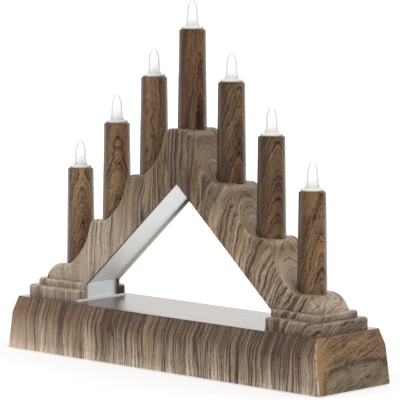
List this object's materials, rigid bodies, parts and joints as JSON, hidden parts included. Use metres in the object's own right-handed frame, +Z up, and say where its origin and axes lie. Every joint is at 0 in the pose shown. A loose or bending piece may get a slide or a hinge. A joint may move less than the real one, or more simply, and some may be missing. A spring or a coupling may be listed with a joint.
{
  "type": "candle arch",
  "caption": "Triangular candle arch with wood-print shelves and electric candles on a long base, lit from cells behind a hinged door underneath.",
  "frame": {"origin": "on the table under the middle of the base", "axes": "+Z up, +X along the base to its right end seen from the front, +Y to the back"},
  "size_m": [0.243, 0.059, 0.2067],
  "materials": {
    "base_wood": "satin lacquer over a printed wood grain",
    "arch_wood": "satin lacquer over a printed wood grain",
    "candle_wood": "satin lacquer over a printed wood grain",
    "liner_white": "smooth white moulding",
    "collar_milky": "milky moulding",
    "flame_clear": "clear moulding",
    "led_resin": "clear resin",
    "lead_sleeve": "soft wire sleeve",
    "cover_brown": "fine texture",
    "cell_wrap": "plain printed wrap",
    "nickel": "nickel plate",
    "screw_steel": "zinc plate",
    "switch_black": "matt black",
    "board_green": "solder mask",
    "chip_black": "moulded resin",
    "pad_rubber": "matt"
  },
  "bodies": {
    "arch": {"arch_liner": "liner_white", "arch_screws": "screw_steel", "arch_shell": "arch_wood", "base_cover": "cover_brown", "base_shell": "base_wood", "battery_cell_1": "cell_wrap", "battery_cell_2": "cell_wrap", "battery_cell_3": "cell_wrap", "battery_wires": "lead_sleeve", "board_parts": "chip_black", "board_screws": "screw_steel", "bulb_collar_1": "collar_milky", "bulb_collar_2": "collar_milky", "bulb_collar_3": "collar_milky", "bulb_collar_4": "collar_milky", "bulb_collar_5": "collar_milky", "bulb_collar_6": "collar_milky", "bulb_collar_7": "collar_milky", "bus_wire": "lead_sleeve", "candle_1": "candle_wood", "candle_2": "candle_wood", "candle_3": "candle_wood", "candle_4": "candle_wood", "candle_5": "candle_wood", "candle_6": "candle_wood", "candle_7": "candle_wood", "contact_plates": "nickel", "contact_springs": "nickel", "cover_screws": "screw_steel", "driver_board": "board_green", "feed_wire": "lead_sleeve", "flame_cap_1": "flame_clear", "flame_cap_2": "flame_clear", "flame_cap_3": "flame_clear", "flame_cap_4": "flame_clear", "flame_cap_5": "flame_clear", "flame_cap_6": "flame_clear", "flame_cap_7": "flame_clear", "led_1": "led_resin", "led_2": "led_resin", "led_3": "led_resin", "led_4": "led_resin", "led_5": "led_resin", "led_6": "led_resin", "led_7": "led_resin", "led_lead_1": "lead_sleeve", "led_lead_2": "lead_sleeve", "led_lead_3": "lead_sleeve", "led_lead_4": "lead_sleeve", "led_lead_5": "lead_sleeve", "led_lead_6": "lead_sleeve", "led_lead_7": "lead_sleeve", "rubber_feet": "pad_rubber", "switch_body": "switch_black", "switch_screws": "screw_steel"},
    "door": {"battery_door": "cover_brown"},
    "knob": {"switch_knob": "switch_black"}
  },
  "joints": [
    {"name": "door_hinge", "type": "hinge", "parent": "arch", "child": "door", "pos_m": [-0.07148, 0, 0.0032], "axis": [0, 1, 0], "range_deg": [0, 85]},
    {"name": "switch_slide", "type": "slide", "parent": "arch", "child": "knob", "axis": [1, 0, 0], "range_m": [0, 0.004]}
  ]
}
